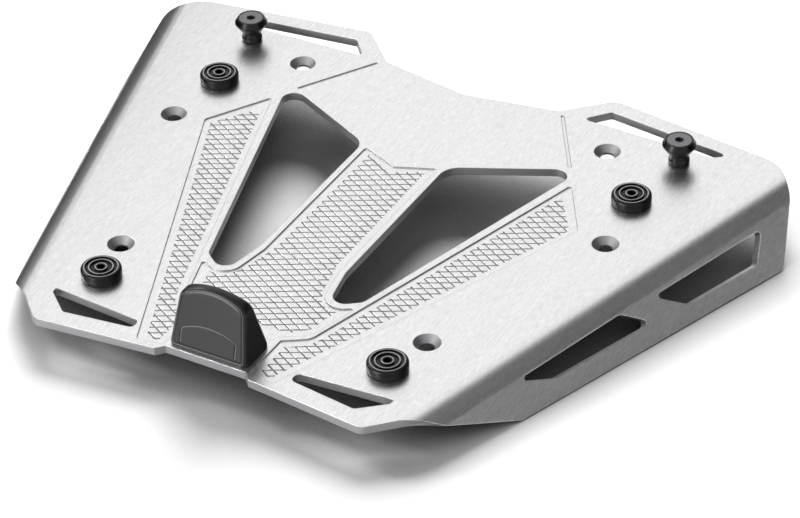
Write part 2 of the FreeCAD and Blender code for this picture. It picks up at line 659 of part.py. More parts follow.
def panel_line():
    """Fine arched line cut round the lower half of the striker's front face."""
    inset = STRIKER_LINE_WIDTH
    outer = arched_prism(STRIKER_PANEL_HALF_WIDTH, STRIKER_PANEL_HALF_WIDTH, STRIKER_PANEL_TOP,
                         STRIKER_CROWN_RADIUS, STRIKER_PANEL_CORNER, STRIKER_LIP_HEIGHT)
    inner = arched_prism(STRIKER_PANEL_HALF_WIDTH - inset, STRIKER_PANEL_HALF_WIDTH - inset,
                         STRIKER_PANEL_TOP - inset, STRIKER_CROWN_RADIUS,
                         STRIKER_PANEL_CORNER - inset, STRIKER_LIP_HEIGHT - inset)
    return outer.cut([inner, striker_wedge(STRIKER_LINE_DEPTH)])


def striker():
    """Black moulded striker with pockets for its two inserts."""
    body = arched_prism(STRIKER_HALF_WIDTH, STRIKER_SHOULDER_HALF_WIDTH, STRIKER_HEIGHT,
                        STRIKER_CROWN_RADIUS, STRIKER_CROWN_CORNER, 0)
    body = body.common(striker_wedge())
    rims = edges_of_face(body, Vector(0, -1, 0.3).normalize())
    rims += edges_of_face(body, Vector(0, 1, 0.3).normalize())
    body = body.makeFillet(STRIKER_ROUND, rims)
    foot = [((x, y), STRIKER_ROUND) for x, y in (
        (-STRIKER_HALF_WIDTH, STRIKER_FRONT_Y), (STRIKER_HALF_WIDTH, STRIKER_FRONT_Y),
        (STRIKER_HALF_WIDTH, STRIKER_REAR_Y), (-STRIKER_HALF_WIDTH, STRIKER_REAR_Y))]
    body = body.common(plan_prism(foot, 0, STRIKER_HEIGHT))
    return body.cut([panel_line()] + [
        Part.makeCylinder(INSERT_RADIUS, INSERT_LENGTH + INSERT_SINK, Vector(x, STRIKER_SCREW_Y, 0))
        for x in (-STRIKER_SCREW_X, STRIKER_SCREW_X)])


def insert():
    """Threaded brass insert for an M6 screw."""
    sleeve = Part.makeCylinder(INSERT_RADIUS, INSERT_LENGTH)
    return sleeve.cut(Part.makeCylinder(M6_RADIUS, INSERT_LENGTH))


def striker_screw():
    """Button-head M6 screw from below, through washer and plate into the insert."""
    seat = -SHEET - WASHER_THICKNESS
    tip = seat + STRIKER_SCREW_LENGTH
    low = seat - BUTTON_HEAD_HEIGHT
    shank = revolved([
        (0, seat),
        (M6_RADIUS, seat),
        (M6_RADIUS, tip - M6_TIP_CHAMFER),
        (M6_RADIUS - M6_TIP_CHAMFER, tip),
        (0, tip),
    ])
    dome = Part.makeSphere(BUTTON_DOME_RADIUS, Vector(0, 0, low + BUTTON_DOME_RADIUS))
    head = Part.makeCylinder(BUTTON_HEAD_RADIUS, BUTTON_HEAD_HEIGHT, Vector(0, 0, low))
    socket = hexagon_prism(M6_COUNTERSUNK_SOCKET, low - OVERRUN, low + BUTTON_SOCKET_DEPTH)
    return shank.fuse(head.common(dome)).cut(socket)


def pair(name, shape, x, y):
    """A piece and its mirrored twin, at plan positions x and minus x."""
    right = at(shape, x, y)
    return {name + "_right": right, name + "_left": mirrored(right)}


def build():
    pieces = {"plate": plate(), "striker": striker()}
    pieces.update(pair("hook_pin", pin(), *PIN_POSITION))
    pieces.update(pair("hook_pin_screw", pin_screw(), *PIN_POSITION))
    pieces.update(pair("hook_pin_washer", washer(-SHEET), *PIN_POSITION))
    pieces.update(pair("hook_pin_nut", lock_nut(-SHEET - WASHER_THICKNESS), *PIN_POSITION))
    pieces.update(pair("front_pad", pad(), FRONT_PAD_X, 0))
    pieces.update(pair("rear_pad", pad(), *REAR_PAD))
    pieces.update(pair("striker_insert", insert(), STRIKER_SCREW_X, STRIKER_SCREW_Y))
    pieces.update(pair("striker_washer", washer(-SHEET), STRIKER_SCREW_X, STRIKER_SCREW_Y))
    pieces.update(pair("striker_screw", striker_screw(), STRIKER_SCREW_X, STRIKER_SCREW_Y))
    return pieces


def main():
    os.makedirs("parts", exist_ok=True)
    pieces = build()
    box = pieces["plate"].optimalBoundingBox(False, False)
    seat = Vector(0, -box.Center.y, -box.ZMin)
    for name, shape in pieces.items():
        placed = shape.translated(seat)
        placed.Solids[0].exportStep(f"parts/{name}.step")
        print(f"{name}: {placed.Volume:.0f} cubic mm, {len(placed.Solids)} solid, "
              f"valid {placed.isValid()}")
    print(f"plate {box.XLength:.1f} x {box.YLength:.1f} x {box.ZLength:.1f}, "
          f"shift {seat.y:.2f}, {seat.z:.2f}")


main()
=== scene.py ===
# %% [markdown]
# A top case mounting plate carries a motorbike's rear case. It is one sheet of 4 mm aluminium,
# folded down at both sides, with black hook pins, ringed rubber pads and a black striker on top.
# The solids come ready made from the frame, at their real size. This lesson gives them their
# finishes, adds the small parts that only the eye needs, and lights them.

# %% Load the frame
import math
import bpy
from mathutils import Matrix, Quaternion, Vector


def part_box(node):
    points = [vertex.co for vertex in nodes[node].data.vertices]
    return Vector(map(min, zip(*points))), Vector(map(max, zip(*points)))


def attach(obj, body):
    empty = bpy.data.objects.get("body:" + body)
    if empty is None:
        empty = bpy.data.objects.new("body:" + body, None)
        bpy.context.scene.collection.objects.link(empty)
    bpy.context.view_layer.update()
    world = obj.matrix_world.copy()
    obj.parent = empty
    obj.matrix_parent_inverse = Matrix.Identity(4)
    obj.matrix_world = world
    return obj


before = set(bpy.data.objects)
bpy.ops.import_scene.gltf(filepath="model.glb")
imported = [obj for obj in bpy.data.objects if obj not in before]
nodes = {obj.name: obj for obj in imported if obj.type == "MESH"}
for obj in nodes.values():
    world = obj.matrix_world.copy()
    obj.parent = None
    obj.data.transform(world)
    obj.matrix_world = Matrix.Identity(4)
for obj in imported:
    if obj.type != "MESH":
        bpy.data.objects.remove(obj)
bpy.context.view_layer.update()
print("pieces in the frame:", len(nodes))

# %% [markdown]
# Everything in Blender is in metres here. A millimetre is easier to think in for a sheet metal
# part, so one small value turns one into the other. The place and the turns of the plate's folds
# come next. They are needed wherever a finish has to follow the folds. What the frame can tell
# by itself, such as the height of the top face, is measured and not typed in.

# %% Sizes that the finishes follow
MM = 0.001
FOLD_ANGLE = math.radians(15.8)        # turn of the right fold from the plate's centre line
FOLD_DOWN = math.radians(60.0)         # how far the flanges are folded down
FOLD_LINE = 126.0 * MM                 # distance of the fold line from the origin
plate_low, plate_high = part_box("plate")
top_z = plate_high.z
print("plate, mm:", [round(v / MM, 1) for v in plate_high - plate_low])

# %% [markdown]
# Colours are easiest to pick as the hex values that a paint program shows. Blender's shaders work
# in linear light, so one function turns a hex value into linear numbers. A second one adds a
# node, sets it up and links it. Every material and every node tree below is built with these.

# %% Colour and node helpers
def hex_colour(code):
    """Turns an sRGB hex value such as "#A0A0A0" into linear red, green, blue and alpha."""
    channels = [int(code[i:i + 2], 16) / 255 for i in (1, 3, 5)]
    linear = [c / 12.92 if c <= 0.04045 else ((c + 0.055) / 1.055) ** 2.4 for c in channels]
    return (*linear, 1.0)


def add_node(tree, kind, inputs=(), **settings):
    """Adds a node with its settings. Its inputs come in their order, or by name. A socket or a
    node among them is linked, and anything else is set as a value."""
    node = tree.nodes.new(kind)
    for name, value in settings.items():
        setattr(node, name, value)
    places = inputs.items() if isinstance(inputs, dict) else enumerate(inputs)
    for place, value in places:
        if isinstance(value, bpy.types.Node):
            value = next(socket for socket in value.outputs if socket.enabled)
        if isinstance(value, bpy.types.NodeSocket):
            tree.links.new(value, node.inputs[place])
        else:
            node.inputs[place].default_value = value
    return node


def new_material(name):
    """Starts an empty material and returns it with its node tree."""
    material = bpy.data.materials.new(name)
    material.use_nodes = True
    material.node_tree.nodes.clear()
    return material, material.node_tree


# %% [markdown]
# The plate is aluminium sheet, brushed lengthwise with an abrasive belt and then clear anodised.
# The belt leaves fine hairlines, so the metal looks almost white along the light and turns grey
# on the folds. Real hairlines are some 0.05 mm wide, which is finer than a pixel of this
# picture. They are drawn 0.7 mm wide and a few millimetres long here, so that they show.
#
# The sheet was brushed flat and folded afterwards. On the flanges the lines therefore lean
# against the fold, by the fold's own angle. A picture of brushed metal could be wrapped round
# the plate, but it would need unwrapping and would smear at the folds. A noise that is long one
# way and narrow the other needs neither: one makes the lines of the flat top, and one is turned
# into the flange's plane. The two flanges mirror each other, so the sideways position enters
# without its sign.

# %% Brushed lines that follow the folds
HAIRLINE_WIDTH = 0.7 * MM
HAIRLINE_LENGTH = 4.5 * MM
FOLD_BLEND = 8.0 * MM                  # past the fold line, the flange's lines take over here

fold_along = Vector((math.sin(FOLD_ANGLE), math.cos(FOLD_ANGLE), 0))
fold_outward = Vector((math.cos(FOLD_ANGLE), -math.sin(FOLD_ANGLE), 0))
slope_down = fold_outward * math.cos(FOLD_DOWN) - Vector((0, 0, math.sin(FOLD_DOWN)))
flange_line = fold_along * math.cos(FOLD_ANGLE) - slope_down * math.sin(FOLD_ANGLE)
flange_cross = fold_along * math.sin(FOLD_ANGLE) + slope_down * math.cos(FOLD_ANGLE)


def lines_along(tree, position, cross, line, width, length):
    """Noise drawn out along one direction: values near 0.5, in lines of a given size."""
    across = add_node(tree, "ShaderNodeVectorMath", [position, cross / width],
                      operation="DOT_PRODUCT")
    along = add_node(tree, "ShaderNodeVectorMath", [position, line / length],
                     operation="DOT_PRODUCT")
    place = add_node(tree, "ShaderNodeCombineXYZ", [across, along])
    return add_node(tree, "ShaderNodeTexNoise", {
        "Vector": place, "Scale": 1.0, "Detail": 3.0, "Roughness": 0.7})


def brushed_lines(tree, width, length):
    """Lines over the whole folded sheet."""
    position = add_node(tree, "ShaderNodeTexCoord").outputs["Object"]
    parts = add_node(tree, "ShaderNodeSeparateXYZ", [position]).outputs
    side = add_node(tree, "ShaderNodeMath", [parts["X"]], operation="ABSOLUTE")
    folded = add_node(tree, "ShaderNodeCombineXYZ", [side, parts["Y"], parts["Z"]])
    on_top = lines_along(tree, position, Vector((1, 0, 0)), Vector((0, 1, 0)), width, length)
    on_flange = lines_along(tree, folded, flange_cross, flange_line, width, length)
    outward = add_node(tree, "ShaderNodeVectorMath", [folded, fold_outward],
                       operation="DOT_PRODUCT")
    beyond = add_node(tree, "ShaderNodeMapRange", [outward, FOLD_LINE, FOLD_LINE + FOLD_BLEND])
    return add_node(tree, "ShaderNodeMix", {"Factor": beyond, "A": on_top, "B": on_flange})


print("hairlines lean on the flange, degrees:", round(math.degrees(FOLD_ANGLE), 1))

# %% [markdown]
# Anodised metal is still metal: the shader is fully metallic and its colour is the colour of the
# reflection. The hairlines change the roughness and tilt the surface a little. Wider, longer
# bands, from coarser grit in the belt, change the tone a little too.
#
# Sharp corners of a machined sheet are broken with a file. They could be bevelled in the mesh,
# but the plate's mesh stays as the frame gave it. So a Bevel node rounds them for the light
# only. That gives the bright thin lines along every cut-out.
#
# The tread and the countersinks are milled and the outline is sawn after brushing. The belt never
# reaches them, so they stay matt. Their darker tone is painted shade, for the shade in the cuts
# and on the upright walls. The floors of the tread are found by their depth and by being level.
# Flanks and countersinks are steeper than the fold is at their height, and the sheet's edges are
# upright.

# %% Brushed, clear anodised aluminium
BAND_WIDTH = 2.5 * MM
BAND_LENGTH = 40.0 * MM
BAND_SHARE = 0.25
NOISE_SPREAD = (0.3, 0.7)              # nearly all values of a noise lie between these
EDGE_BREAK = 0.55 * MM
TREAD_DEPTH = 0.95 * MM                # floors of the tread's cuts, below the top face
DEPTH_PLAY = 0.05 * MM
LEVEL = 0.99                           # upward part of a level face's normal
UPRIGHT = (0.1, 0.25)                  # the same for an edge: fully upright, and no longer
SINK_DEPTH = 3.3 * MM
RUBBED_EDGE = 1.0 * MM                 # the belt still polishes this much of an edge
STEEPEST_FOLD = 0.74                   # upward part of the fold's normal at that depth


def cut_surfaces_and_painted_shade(tree):
    """Where the sheet was cut after brushing: tread, countersinks and edges. They get the matt
    finish and the painted shade.
    """
    place = add_node(tree, "ShaderNodeTexCoord").outputs
    height = add_node(tree, "ShaderNodeSeparateXYZ", [place["Object"]]).outputs["Z"]
    level = add_node(tree, "ShaderNodeSeparateXYZ", [place["Normal"]]).outputs["Z"]

    at_floor = add_node(tree, "ShaderNodeMath", [height, top_z - TREAD_DEPTH, DEPTH_PLAY],
                        operation="COMPARE")
    lying = add_node(tree, "ShaderNodeMath", [level, LEVEL], operation="GREATER_THAN")
    floors = add_node(tree, "ShaderNodeMath", [at_floor, lying], operation="MULTIPLY")

    near_top = add_node(tree, "ShaderNodeMath", [height, top_z - SINK_DEPTH],
                        operation="GREATER_THAN")
    steep = add_node(tree, "ShaderNodeMath", [level, STEEPEST_FOLD], operation="LESS_THAN")
    flanks = add_node(tree, "ShaderNodeMath", [near_top, steep], operation="MULTIPLY")

    tilt = add_node(tree, "ShaderNodeMath", [level], operation="ABSOLUTE")
    upright = add_node(tree, "ShaderNodeMapRange", [tilt, *UPRIGHT, 1.0, 0.0])
    under_rim = add_node(tree, "ShaderNodeMath", [height, top_z - RUBBED_EDGE],
                         operation="LESS_THAN")
    walls = add_node(tree, "ShaderNodeMath", [upright, under_rim], operation="MULTIPLY")

    milled = add_node(tree, "ShaderNodeMath", [floors, flanks], operation="MAXIMUM")
    return add_node(tree, "ShaderNodeMath", [milled, walls], operation="MAXIMUM")


def brushed_anodised_aluminium():
    """Light grey metal: soft streaks on the brushed faces, matt and with painted shade where it
    was cut.
    """
    material, tree = new_material("brushed_anodised_aluminium")
    lines = brushed_lines(tree, HAIRLINE_WIDTH, HAIRLINE_LENGTH)
    bands = brushed_lines(tree, BAND_WIDTH, BAND_LENGTH)
    both = add_node(tree, "ShaderNodeMix", {"Factor": BAND_SHARE, "A": lines, "B": bands})
    streaks = add_node(tree, "ShaderNodeMapRange", [both, *NOISE_SPREAD])
    brushed = add_node(tree, "ShaderNodeMix", {
        "Factor": streaks, "A": hex_colour("#D6D6D6"), "B": hex_colour("#FCFCFC")},
        data_type="RGBA")
    cut_and_painted_shade = cut_surfaces_and_painted_shade(tree)
    # The darker tone of the cut surfaces is painted shade in the cuts and on the walls.
    tone = add_node(tree, "ShaderNodeMix", {
        "Factor": cut_and_painted_shade, "A": brushed, "B": hex_colour("#A0A0A2")}, data_type="RGBA")
    brushed_gloss = add_node(tree, "ShaderNodeMapRange", [both, *NOISE_SPREAD, 0.31, 0.36])
    gloss = add_node(tree, "ShaderNodeMix", {"Factor": cut_and_painted_shade, "A": brushed_gloss, "B": 0.55})
    edge = add_node(tree, "ShaderNodeBevel", {"Radius": EDGE_BREAK}, samples=4)
    relief = add_node(tree, "ShaderNodeBump", {
        "Height": lines, "Strength": 0.10, "Distance": 0.05 * MM, "Normal": edge})
    shader = add_node(tree, "ShaderNodeBsdfPrincipled", {
        "Base Color": tone, "Metallic": 1.0, "Roughness": gloss, "Normal": relief})
    add_node(tree, "ShaderNodeOutputMaterial", {"Surface": shader})
    return material


def dress(material, *names):
    """Gives frame pieces a material in place of their plain one."""
    for name in names:
        slots = nodes[name].data.materials
        slots.clear()
        slots.append(material)


aluminium = brushed_anodised_aluminium()
dress(aluminium, "plate")
print("dressed the plate")

# %% [markdown]
# The tread is cut with a pointed mill, which leaves V-shaped cuts between the diamonds. The
# frame's cuts are plain and square, so each diamond gets sloping flanks here. They could be
# placed by hand from the tread's spacing, but then a changed plate would need new numbers.
#
# Here the plate itself says where they belong. At the level of the sunken fields, every whole
# diamond is an island of two triangles, and whatever surrounds the tread is a larger one. The
# node tree finds those islands, spreads each into a foot at the bottom of the cuts and raises it
# again to its old size.

# %% Diamonds of the tread
FIELD_DEPTH = 0.6 * MM
FOOT_SPREAD = 1.17                     # size of a diamond's foot, compared with its top
CLEAR = 0.02 * MM                      # keeps the new faces just clear of the frame's
WELD = 0.01 * MM                       # corners that lie closer than this are one
WHOLE_DIAMOND = 2.0                    # triangles in its island


def diamond_tree():
    """Sloping flanks and a top for every whole diamond that it finds on the plate."""
    tree = bpy.data.node_groups.new("tread_diamonds", "GeometryNodeTree")
    for name, kind in (("Plate", "Object"), ("Field height", "Float"), ("Cut depth", "Float"),
                       ("Foot spread", "Float"), ("Raise", "Float"), ("Finish", "Material")):
        tree.interface.new_socket(name, in_out="INPUT", socket_type="NodeSocket" + kind)
    tree.interface.new_socket("Geometry", in_out="OUTPUT", socket_type="NodeSocketGeometry")
    sizes = add_node(tree, "NodeGroupInput").outputs
    plate = add_node(tree, "GeometryNodeObjectInfo", {"Object": sizes["Plate"]})
    welded = add_node(tree, "GeometryNodeMergeByDistance", {
        "Geometry": plate.outputs["Geometry"], "Distance": WELD})

    position = add_node(tree, "GeometryNodeInputPosition")
    normal = add_node(tree, "GeometryNodeInputNormal")
    height = add_node(tree, "ShaderNodeSeparateXYZ", [position]).outputs["Z"]
    level = add_node(tree, "ShaderNodeSeparateXYZ", [normal]).outputs["Z"]
    at_field = add_node(tree, "ShaderNodeMath", [height, sizes["Field height"], CLEAR],
                        operation="COMPARE")
    lying = add_node(tree, "ShaderNodeMath", [level, LEVEL], operation="GREATER_THAN")
    floors = add_node(tree, "ShaderNodeMath", [at_field, lying], operation="MULTIPLY")
    fields = add_node(tree, "GeometryNodeSeparateGeometry", {
        "Geometry": welded, "Selection": floors}, domain="FACE")

    island = add_node(tree, "GeometryNodeInputMeshIsland").outputs["Island Index"]
    faces = add_node(tree, "GeometryNodeAccumulateField", {
        "Value": 1, "Group ID": island}, data_type="INT", domain="FACE").outputs["Total"]
    whole = add_node(tree, "ShaderNodeMath", [faces, WHOLE_DIAMOND, 0.5], operation="COMPARE")
    diamonds = add_node(tree, "GeometryNodeSeparateGeometry", {
        "Geometry": fields, "Selection": whole}, domain="FACE")

    feet = add_node(tree, "GeometryNodeScaleElements", {
        "Geometry": diamonds, "Scale": sizes["Foot spread"]}, domain="FACE")
    fall = add_node(tree, "ShaderNodeMath", [sizes["Cut depth"], -1.0], operation="MULTIPLY")
    down = add_node(tree, "ShaderNodeCombineXYZ", {"Z": fall})
    lowered = add_node(tree, "GeometryNodeSetPosition", {"Geometry": feet, "Offset": down})
    rise = add_node(tree, "ShaderNodeMath", [sizes["Cut depth"], sizes["Raise"]], operation="ADD")
    raised = add_node(tree, "GeometryNodeExtrudeMesh", {
        "Mesh": lowered, "Offset Scale": rise, "Individual": False}, mode="FACES")
    narrowing = add_node(tree, "ShaderNodeMath", [1.0, sizes["Foot spread"]], operation="DIVIDE")
    tops = add_node(tree, "GeometryNodeScaleElements", {
        "Geometry": raised, "Selection": raised.outputs["Top"], "Scale": narrowing},
        domain="FACE")
    real = add_node(tree, "GeometryNodeRealizeInstances", {"Geometry": tops})
    dressed = add_node(tree, "GeometryNodeSetMaterial", {
        "Geometry": real, "Material": sizes["Finish"]})
    add_node(tree, "NodeGroupOutput", {"Geometry": dressed})
    return tree


def built(tree, name, values):
    """Runs a node tree with its named inputs, and keeps the result as a plain mesh."""
    holder = bpy.data.objects.new(name + "_holder", bpy.data.meshes.new(name))
    bpy.context.scene.collection.objects.link(holder)
    modifier = holder.modifiers.new(name, "NODES")
    modifier.node_group = tree
    for item in tree.interface.items_tree:
        if item.item_type == "SOCKET" and item.in_out == "INPUT":
            modifier[item.identifier] = values[item.name]
    bpy.context.view_layer.update()
    evaluated = holder.evaluated_get(bpy.context.evaluated_depsgraph_get())
    piece = bpy.data.objects.new(name, bpy.data.meshes.new_from_object(evaluated))
    bpy.data.objects.remove(holder)
    bpy.context.scene.collection.objects.link(piece)
    return piece


tread = built(diamond_tree(), "tread_diamonds", {
    "Plate": nodes["plate"], "Field height": top_z - FIELD_DEPTH,
    "Cut depth": TREAD_DEPTH - FIELD_DEPTH - CLEAR, "Foot spread": FOOT_SPREAD,
    "Raise": 2 * CLEAR, "Finish": aluminium})
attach(tread, "root")
print("flank and top faces of the tread:", len(tread.data.polygons))

# %% [markdown]
# The pads are moulded rubber. Rubber soaks up light, and its satin skin gives only a broad, dull
# shine. A mould has no sharp corners, so a Bevel node rounds the rings' edges for the light.
# Cases rub on the ribs that the next step adds, and their crests are grey: partly that wear, and
# partly a painted highlight for the light the rounded crests catch. A second material on the ribs
# would give a hard border, so the height of a point sets how grey it is.

# %% Moulded black rubber
MOULD_ROUND = 0.3 * MM
SKIN_GRAIN = 1.2 * MM
RIB_HEIGHT = 0.2 * MM
# The grey of the rib crests is partly wear and partly a painted highlight.
RUBBED_AND_HIGHLIGHT_FROM = 0.02 * MM                # above the pad, where the grey begins
RUBBED_AND_HIGHLIGHT_FULL = 0.08 * MM                # below the crest, where it is full
pad_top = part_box("front_pad_right")[1].z
rib_crest = pad_top + RIB_HEIGHT


def moulded_rubber():
    """Nearly black with a dull shine, and grey on the crests: wear and a painted highlight."""
    material, tree = new_material("moulded_black_rubber")
    position = add_node(tree, "ShaderNodeTexCoord").outputs["Object"]
    height = add_node(tree, "ShaderNodeSeparateXYZ", [position]).outputs["Z"]
    # Grey towards the crest: wear and a painted highlight.
    rubbed_and_highlight = add_node(tree, "ShaderNodeMapRange", [
        height, pad_top + RUBBED_AND_HIGHLIGHT_FROM, rib_crest - RUBBED_AND_HIGHLIGHT_FULL])
    tone = add_node(tree, "ShaderNodeMix", {
        "Factor": rubbed_and_highlight, "A": hex_colour("#0A0A0B"), "B": hex_colour("#8A8A8A")},
        data_type="RGBA")
    skin = add_node(tree, "ShaderNodeTexNoise", {
        "Vector": position, "Scale": 1 / SKIN_GRAIN, "Detail": 3.0})
    gloss = add_node(tree, "ShaderNodeMapRange", [skin, *NOISE_SPREAD, 0.26, 0.38])
    soft_edge = add_node(tree, "ShaderNodeBevel", {"Radius": MOULD_ROUND}, samples=4)
    relief = add_node(tree, "ShaderNodeBump", {
        "Height": skin, "Strength": 0.15, "Distance": 0.05 * MM, "Normal": soft_edge})
    shader = add_node(tree, "ShaderNodeBsdfPrincipled", {
        "Base Color": tone, "Roughness": gloss, "IOR": 1.52, "Specular IOR Level": 0.25,
        "Normal": relief})
    add_node(tree, "ShaderNodeOutputMaterial", {"Surface": shader})
    return material


rubber = moulded_rubber()
pads = [name for name in nodes if "pad" in name]
dress(rubber, *pads)
print("dressed the pads:", sorted(pads))

# %% [markdown]
# Three round ribs stand on every pad and give it its rings. The frame's pads have a groove where
# each rib grows from. Twelve torus meshes would do, but they would be twelve things to move when
# a pad moves. A rib is a circle swept by a smaller circle, and the same three ribs are set on all
# four pads. So the node tree makes them once and copies them to the pads' centres.

# %% Ribs of the pads
RIB_RADII = {"Outer radius": 7.75 * MM, "Middle radius": 5.5 * MM, "Inner radius": 2.6 * MM}
RIB_THICKNESS = 0.5 * MM               # radius of the rib itself
RIB_SIDES = 10
RING_STEPS = 48


def rib_tree():
    """One set of round ribs, copied to every centre."""
    tree = bpy.data.node_groups.new("pad_ribs", "GeometryNodeTree")
    kinds = {"Centres": "Object", "Thickness": "Float", "Finish": "Material"}
    kinds.update((name, "Float") for name in RIB_RADII)
    for name, kind in kinds.items():
        tree.interface.new_socket(name, in_out="INPUT", socket_type="NodeSocket" + kind)
    tree.interface.new_socket("Geometry", in_out="OUTPUT", socket_type="NodeSocketGeometry")
    sizes = add_node(tree, "NodeGroupInput").outputs
    section = add_node(tree, "GeometryNodeCurvePrimitiveCircle", {
        "Resolution": RIB_SIDES, "Radius": sizes["Thickness"]})
    ribs = add_node(tree, "GeometryNodeJoinGeometry")
    for name in RIB_RADII:
        ring = add_node(tree, "GeometryNodeCurvePrimitiveCircle", {
            "Resolution": RING_STEPS, "Radius": sizes[name]})
        rib = add_node(tree, "GeometryNodeCurveToMesh", {"Curve": ring, "Profile Curve": section})
        tree.links.new(rib.outputs[0], ribs.inputs[0])
    centres = add_node(tree, "GeometryNodeObjectInfo", {"Object": sizes["Centres"]})
    copies = add_node(tree, "GeometryNodeInstanceOnPoints", {
        "Points": centres.outputs["Geometry"], "Instance": ribs})
    real = add_node(tree, "GeometryNodeRealizeInstances", {"Geometry": copies})
    dressed = add_node(tree, "GeometryNodeSetMaterial", {
        "Geometry": real, "Material": sizes["Finish"]})
    add_node(tree, "NodeGroupOutput", {"Geometry": dressed})
    return tree


middles = []
for name in sorted(pads):
    low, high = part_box(name)
    middles.append(((low.x + high.x) / 2, (low.y + high.y) / 2, rib_crest - RIB_THICKNESS))
points = bpy.data.meshes.new("pad_middles")
points.from_pydata(middles, [], [])
marker = bpy.data.objects.new("pad_middles", points)
bpy.context.scene.collection.objects.link(marker)
ribs = built(rib_tree(), "pad_ribs", {
    "Centres": marker, "Thickness": RIB_THICKNESS, "Finish": rubber, **RIB_RADII})
bpy.data.objects.remove(marker)
for polygon in ribs.data.polygons:
    polygon.use_smooth = True
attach(ribs, "root")
print("faces of the ribs:", len(ribs.data.polygons))

# %% [markdown]
# The hook pins are turned from steel and blackened, which leaves a thin dark skin on them. So
# they are shaded as a dark skin with a slight sheen and not as bare metal. Turning leaves faint
# rings round the axis, which stretch every highlight into a short arc. Rings cut into the mesh
# would be finer than a pixel, so the distance from each pin's axis feeds a wave that tilts the
# surface. The two pins mirror each other, so the same trick as on the plate serves both: the
# sideways position enters without its sign.

# %% Blackened turned steel
TURNING_PITCH = 0.35 * MM
TURNED_EDGE = 0.3 * MM
pin_low, pin_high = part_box("hook_pin_right")
pin_centre = (pin_low + pin_high) / 2


def turned_rings(tree, pitch):
    """A wave round the nearer pin's axis, which rises and falls once for each ring."""
    position = add_node(tree, "ShaderNodeTexCoord").outputs["Object"]
    parts = add_node(tree, "ShaderNodeSeparateXYZ", [position]).outputs
    side = add_node(tree, "ShaderNodeMath", [parts["X"]], operation="ABSOLUTE")
    flat = add_node(tree, "ShaderNodeCombineXYZ", [side, parts["Y"]])
    distance = add_node(tree, "ShaderNodeVectorMath", [flat, (pin_centre.x, pin_centre.y, 0)],
                        operation="DISTANCE")
    turns = add_node(tree, "ShaderNodeMath", [distance, 2 * math.pi / pitch],
                     operation="MULTIPLY")
    return add_node(tree, "ShaderNodeMath", [turns], operation="SINE")


def blackened_steel():
    """Black with a thin sheen, and with highlights drawn into arcs by the turning rings."""
    material, tree = new_material("blackened_turned_steel")
    soft_edge = add_node(tree, "ShaderNodeBevel", {"Radius": TURNED_EDGE}, samples=4)
    rings = turned_rings(tree, TURNING_PITCH)
    relief = add_node(tree, "ShaderNodeBump", {
        "Height": rings, "Strength": 0.15, "Distance": 0.02 * MM, "Normal": soft_edge})
    shader = add_node(tree, "ShaderNodeBsdfPrincipled", {
        "Base Color": hex_colour("#0A0A0B"), "Roughness": 0.27, "IOR": 1.5,
        "Specular IOR Level": 0.25, "Coat Weight": 0.15, "Coat Roughness": 0.12,
        "Normal": relief})
    add_node(tree, "ShaderNodeOutputMaterial", {"Surface": shader})
    return material


dress(blackened_steel(), "hook_pin_right", "hook_pin_left")
print("dressed the pins at, mm:", [round(v / MM, 1) for v in pin_centre])

# %% [markdown]
# Screws, washers and nuts are steel with a thin zinc plating. Zinc is a light grey metal with a
# cloudy, slightly crystalline look, so a soft noise moves both its tone and its roughness. A
# cell pattern would draw crystals with edges, which only thick hot-dip zinc has. The two screws
# in the hook pins show on top, and are darkened to go with the pins.

# %% Plated steel
CLOUD_SIZE = 1.6 * MM
CLOUD_SPREAD = (0.35, 0.65)            # most values of a noise lie between these


def plated_steel(name, dull, bright):
    """Metal with a cloudy skin between two tones."""
    material, tree = new_material(name)
    position = add_node(tree, "ShaderNodeTexCoord").outputs["Object"]
    cloud = add_node(tree, "ShaderNodeTexNoise", {
        "Vector": position, "Scale": 1 / CLOUD_SIZE, "Detail": 4.0})
    patches = add_node(tree, "ShaderNodeMapRange", [cloud, *CLOUD_SPREAD])
    tone = add_node(tree, "ShaderNodeMix", {
        "Factor": patches, "A": hex_colour(dull), "B": hex_colour(bright)}, data_type="RGBA")
    gloss = add_node(tree, "ShaderNodeMapRange", [cloud, *NOISE_SPREAD, 0.32, 0.5])
    shader = add_node(tree, "ShaderNodeBsdfPrincipled", {
        "Base Color": tone, "Metallic": 1.0, "Roughness": gloss})
    add_node(tree, "ShaderNodeOutputMaterial", {"Surface": shader})
    return material


fasteners = [name for name in nodes if any(kind in name for kind in ("screw", "washer", "nut"))]
pin_screws = [name for name in fasteners if name.startswith("hook_pin_screw")]
dress(plated_steel("zinc_plated_steel", "#A9A9A8", "#C6C6C4"), *fasteners)
dress(plated_steel("blackened_screw_steel", "#78787A", "#8C8C8E"), *pin_screws)
print("dressed the fasteners:", len(fasteners))

# %% [markdown]
# The inserts inside the striker are turned brass. The striker and its screws hide them, but a
# warm metal is what someone who takes the part apart would find. Plain brass needs no pattern
# beyond a little change in its gloss.

# %% Turned brass
BRASS_GRAIN = 0.8 * MM


def turned_brass():
    """Warm yellow metal with a slightly uneven gloss."""
    material, tree = new_material("turned_brass")
    position = add_node(tree, "ShaderNodeTexCoord").outputs["Object"]
    grain = add_node(tree, "ShaderNodeTexNoise", {
        "Vector": position, "Scale": 1 / BRASS_GRAIN, "Detail": 2.0})
    gloss = add_node(tree, "ShaderNodeMapRange", [grain, *NOISE_SPREAD, 0.25, 0.4])
    shader = add_node(tree, "ShaderNodeBsdfPrincipled", {
        "Base Color": hex_colour("#D1B26B"), "Metallic": 1.0, "Roughness": gloss})
    add_node(tree, "ShaderNodeOutputMaterial", {"Surface": shader})
    return material


inserts = ("striker_insert_right", "striker_insert_left")
dress(turned_brass(), *inserts)
print("dressed the inserts:", inserts)
